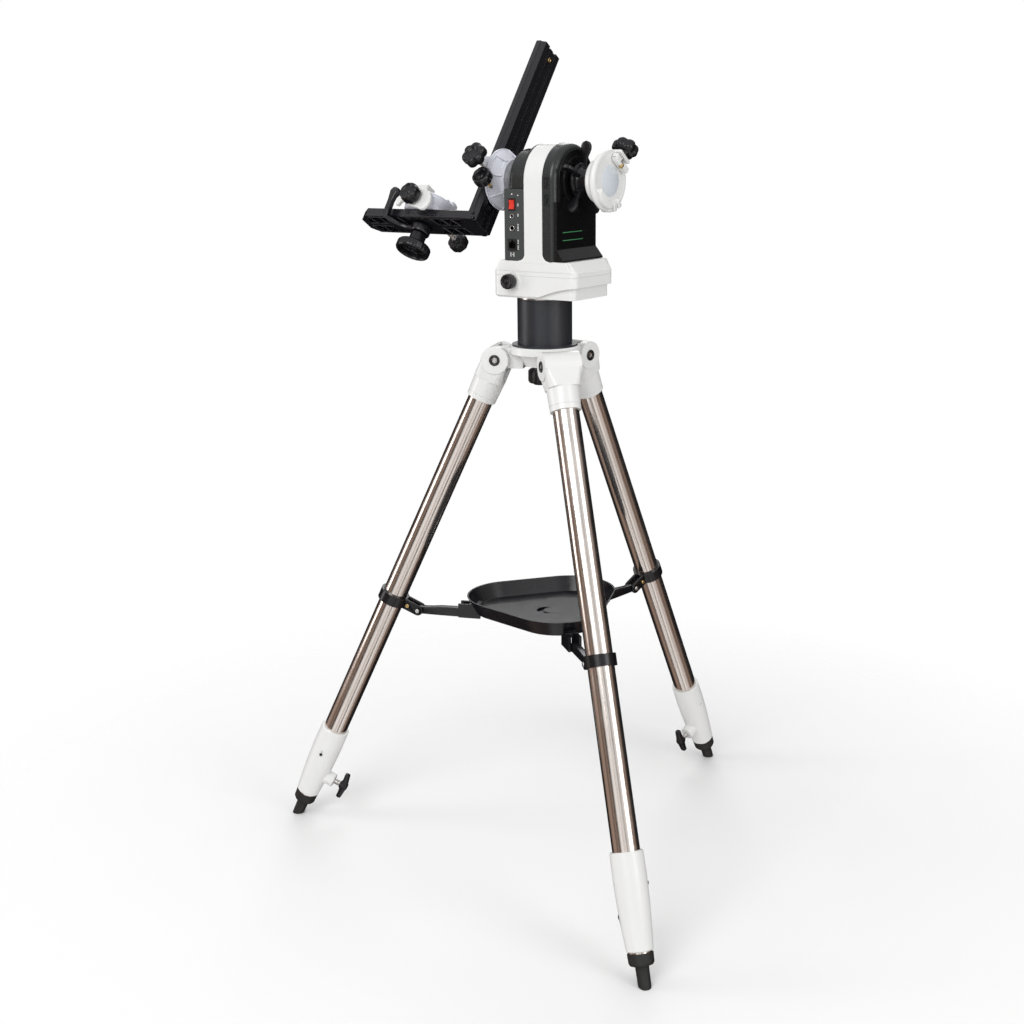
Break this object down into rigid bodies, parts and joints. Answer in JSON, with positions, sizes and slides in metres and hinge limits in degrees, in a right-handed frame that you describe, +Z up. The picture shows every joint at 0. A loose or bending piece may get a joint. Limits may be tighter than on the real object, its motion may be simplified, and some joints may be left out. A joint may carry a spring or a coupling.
{
  "type": "alt azimuth mount",
  "caption": "Motorised alt azimuth mount with twin dovetail saddles and an accessory bracket, on a folding steel-legged tripod with an accessory tray.",
  "frame": {"origin": "on the ground, under the azimuth axis", "axes": "+Z up along the azimuth axis, +X along the altitude axis towards the clutch side, +Y away from the connector panel"},
  "size_m": [0.7578, 0.7061, 1.2311],
  "materials": {
    "white_paint": "gloss",
    "pearl_paint": "gloss",
    "dark_shell": "satin",
    "black_plastic": "fine grain",
    "black_metal": "powder coat",
    "pier_paint": "satin",
    "leg_steel": "polished",
    "steel": "machined",
    "brass": "machined",
    "rocker_red": "gloss",
    "socket_black": "gloss",
    "foot_rubber": "matte",
    "cover_black": "satin"
  },
  "bodies": {
    "tripod_hub": {"hub_casting": "white_paint", "leg_pivot_bolts": "black_metal", "pier_tube": "pier_paint", "az_shaft": "steel", "az_worm_wheel": "brass"},
    "hub_lock": {"hub_lock_knob": "black_plastic"},
    "tray": {"accessory_tray": "black_plastic"},
    "head": {"base_casing": "white_paint", "head_casting": "white_paint", "left_shell": "dark_shell", "right_shell": "dark_shell", "label_cover": "cover_black", "connector_panel": "dark_shell", "panel_sockets": "socket_black", "axis_bearings": "steel", "drive_motors": "steel"},
    "rocker": {"power_rocker": "rocker_red"},
    "az_clutch": {"az_clutch_knob": "black_plastic"},
    "az_worm_body": {"az_worm": "steel"},
    "alt_worm_body": {"alt_worm": "steel"},
    "altitude": {"alt_shaft": "steel", "alt_worm_wheel": "brass", "right_saddle": "white_paint", "left_saddle": "pearl_paint", "l_bracket": "black_metal"},
    "alt_clutch": {"alt_clutch_wheel": "black_plastic"},
    "right_jaw_body": {"right_jaw": "white_paint"},
    "right_knob": {"right_saddle_knob": "black_plastic"},
    "left_jaw_body": {"left_jaw": "pearl_paint"},
    "left_knob": {"left_saddle_knob": "black_plastic"},
    "left_safety": {"left_safety_knob": "black_plastic"},
    "aux_pan": {"aux_saddle": "pearl_paint"},
    "aux_front_knob": {"aux_knob_front": "black_plastic"},
    "aux_rear_knob": {"aux_knob_rear": "black_plastic"},
    "aux_wheel": {"aux_hand_wheel": "black_plastic"},
    "aux_lever": {"aux_lock_lever": "black_metal"},
    "leg_1": {"leg_bracket_1": "white_paint", "outer_tube_1": "leg_steel", "leg_casting_1": "white_paint", "leg_collar_1": "black_plastic"},
    "lower_leg_1": {"inner_tube_1": "leg_steel", "foot_1": "foot_rubber"},
    "leg_clamp_1": {"leg_clamp_knob_1": "black_plastic"},
    "arm_1": {"spreader_arm_1": "black_plastic"},
    "leg_2": {"leg_bracket_2": "white_paint", "outer_tube_2": "leg_steel", "leg_casting_2": "white_paint", "leg_collar_2": "black_plastic"},
    "lower_leg_2": {"inner_tube_2": "leg_steel", "foot_2": "foot_rubber"},
    "leg_clamp_2": {"leg_clamp_knob_2": "black_plastic"},
    "arm_2": {"spreader_arm_2": "black_plastic"},
    "leg_3": {"leg_bracket_3": "white_paint", "outer_tube_3": "leg_steel", "leg_casting_3": "white_paint", "leg_collar_3": "black_plastic"},
    "lower_leg_3": {"inner_tube_3": "leg_steel", "foot_3": "foot_rubber"},
    "leg_clamp_3": {"leg_clamp_knob_3": "black_plastic"},
    "arm_3": {"spreader_arm_3": "black_plastic"}
  },
  "joints": [
    {"name": "azimuth", "type": "hinge", "parent": "tripod_hub", "child": "head", "pos_m": [0, 0, 0.894], "axis": [0, 0, 1], "continuous": true},
    {"name": "altitude", "type": "hinge", "parent": "head", "child": "altitude", "pos_m": [0, 0, 1.033], "axis": [1, 0, 0], "continuous": true},
    {"name": "az_worm_turn", "type": "hinge", "parent": "head", "child": "az_worm_body", "pos_m": [0.0374, 0, 0.894], "axis": [0, 1, 0], "continuous": true},
    {"name": "alt_worm_turn", "type": "hinge", "parent": "head", "child": "alt_worm_body", "pos_m": [0.018, 0, 0.9956], "axis": [0, 1, 0], "continuous": true},
    {"name": "hub_lock_turn", "type": "hinge", "parent": "tripod_hub", "child": "hub_lock", "pos_m": [0, 0, 0.75], "axis": [0, 0, 1], "range_deg": [-180, 180]},
    {"name": "rocker_tip", "type": "hinge", "parent": "head", "child": "rocker", "pos_m": [-0.019, -0.048, 1.001], "axis": [1, 0, 0], "range_deg": [-8, 8]},
    {"name": "az_clutch_turn", "type": "hinge", "parent": "head", "child": "az_clutch", "pos_m": [-0.02, -0.054, 0.894], "axis": [0, 1, 0], "range_deg": [-180, 180]},
    {"name": "alt_clutch_turn", "type": "hinge", "parent": "altitude", "child": "alt_clutch", "pos_m": [0.07, 0, 1.033], "axis": [1, 0, 0], "range_deg": [-60, 60]},
    {"name": "right_knob_turn", "type": "hinge", "parent": "altitude", "child": "right_knob", "pos_m": [0.115, 0.02832, 1.06925], "axis": [0, 0.6157, 0.788], "range_deg": [0, 1080]},
    {"name": "right_jaw_slide", "type": "slide", "parent": "altitude", "child": "right_jaw_body", "axis": [0, 0.6157, 0.788], "range_m": [0, 0.0042]},
    {"name": "left_knob_turn", "type": "hinge", "parent": "altitude", "child": "left_knob", "pos_m": [-0.078, -0.05262, 1.06426], "axis": [0, -0.8151, 0.5793], "range_deg": [0, 1080]},
    {"name": "left_jaw_slide", "type": "slide", "parent": "altitude", "child": "left_jaw_body", "axis": [0, -0.8151, 0.5793], "range_m": [0, 0.0042]},
    {"name": "left_safety_turn", "type": "hinge", "parent": "altitude", "child": "left_safety", "pos_m": [-0.067, -0.04964, 1.03393], "axis": [0, -0.8151, 0.5793], "range_deg": [-180, 180]},
    {"name": "aux_pan_turn", "type": "hinge", "parent": "altitude", "child": "aux_pan", "pos_m": [-0.189, -0.03881, 0.97839], "axis": [0, 0.5793, 0.8151], "range_deg": [-10, 10]},
    {"name": "aux_front_turn", "type": "hinge", "parent": "aux_pan", "child": "aux_front_knob", "pos_m": [-0.186, -0.06894, 1.01022], "axis": [0, 0.8151, -0.5793], "range_deg": [-180, 180]},
    {"name": "aux_rear_turn", "type": "hinge", "parent": "aux_pan", "child": "aux_rear_knob", "pos_m": [-0.186, 0.02643, 0.94245], "axis": [0, 0.8151, -0.5793], "range_deg": [-180, 180]},
    {"name": "aux_wheel_turn", "type": "hinge", "parent": "altitude", "child": "aux_wheel", "pos_m": [-0.189, -0.06778, 0.93763], "axis": [0, 0.5793, 0.8151], "range_deg": [-180, 180]},
    {"name": "aux_lever_turn", "type": "hinge", "parent": "altitude", "child": "aux_lever", "pos_m": [-0.189, -0.0504, 0.96208], "axis": [0, 0.5793, 0.8151], "range_deg": [0, 15]},
    {"name": "leg_fold_1", "type": "hinge", "parent": "tripod_hub", "child": "leg_1", "pos_m": [0.0556, -0.04235, 0.777], "axis": [0.606, 0.7955, 0], "range_deg": [0, 10.1]},
    {"name": "leg_extend_1", "type": "slide", "parent": "leg_1", "child": "lower_leg_1", "axis": [0.3348, -0.255, -0.9071], "range_m": [0, 0.3]},
    {"name": "leg_clamp_turn_1", "type": "hinge", "parent": "leg_1", "child": "leg_clamp_1", "pos_m": [0.28039, -0.2136, 0.05865], "axis": [-0.7216, 0.5497, -0.4209], "range_deg": [-180, 180]},
    {"name": "arm_fold_1", "type": "hinge", "parent": "leg_1", "child": "arm_1", "pos_m": [0.16407, -0.12499, 0.375], "axis": [-0.606, -0.7955, 0], "range_deg": [0, 99.8]},
    {"name": "leg_fold_2", "type": "hinge", "parent": "tripod_hub", "child": "leg_2", "pos_m": [0.00888, 0.06933, 0.777], "axis": [-0.9919, 0.1271, 0], "range_deg": [0, 10.1]},
    {"name": "leg_extend_2", "type": "slide", "parent": "leg_2", "child": "lower_leg_2", "axis": [0.0535, 0.4175, -0.9071], "range_m": [0, 0.3]},
    {"name": "leg_clamp_turn_2", "type": "hinge", "parent": "leg_2", "child": "leg_clamp_2", "pos_m": [0.04479, 0.34962, 0.05865], "axis": [-0.1153, -0.8998, -0.4209], "range_deg": [-180, 180]},
    {"name": "arm_fold_2", "type": "hinge", "parent": "leg_2", "child": "arm_2", "pos_m": [0.02621, 0.20458, 0.375], "axis": [0.9919, -0.1271, 0], "range_deg": [0, 99.8]},
    {"name": "leg_fold_3", "type": "hinge", "parent": "tripod_hub", "child": "leg_3", "pos_m": [-0.06448, -0.02697, 0.777], "axis": [0.3859, -0.9225, 0], "range_deg": [0, 10.1]},
    {"name": "leg_extend_3", "type": "slide", "parent": "leg_3", "child": "lower_leg_3", "axis": [-0.3883, -0.1624, -0.9071], "range_m": [0, 0.3]},
    {"name": "leg_clamp_turn_3", "type": "hinge", "parent": "leg_3", "child": "leg_clamp_3", "pos_m": [-0.32517, -0.13602, 0.05865], "axis": [0.8369, 0.3501, -0.4209], "range_deg": [-180, 180]},
    {"name": "arm_fold_3", "type": "hinge", "parent": "leg_3", "child": "arm_3", "pos_m": [-0.19027, -0.07959, 0.375], "axis": [-0.3859, 0.9225, 0], "range_deg": [0, 99.8]},
    {"name": "tray_drop", "type": "slide", "parent": "tripod_hub", "child": "tray", "axis": [0, 0, -1], "range_m": [0, 0.09143]}
  ],
  "couplings": [
    {"joint": "az_worm_turn", "follows": "azimuth", "ratio": 72},
    {"joint": "alt_worm_turn", "follows": "altitude", "ratio": 72},
    {"joint": "right_jaw_slide", "follows": "right_knob_turn", "m_per_rad": 0.0002228},
    {"joint": "left_jaw_slide", "follows": "left_knob_turn", "m_per_rad": 0.0002228},
    {"joint": "arm_fold_1", "follows": "leg_fold_1", "ratio": 9.8613},
    {"joint": "leg_fold_2", "follows": "leg_fold_1", "ratio": 1},
    {"joint": "arm_fold_2", "follows": "leg_fold_1", "ratio": 9.8613},
    {"joint": "leg_fold_3", "follows": "leg_fold_1", "ratio": 1},
    {"joint": "arm_fold_3", "follows": "leg_fold_1", "ratio": 9.8613},
    {"joint": "tray_drop", "follows": "leg_fold_1", "m_per_rad": 0.51584}
  ]
}
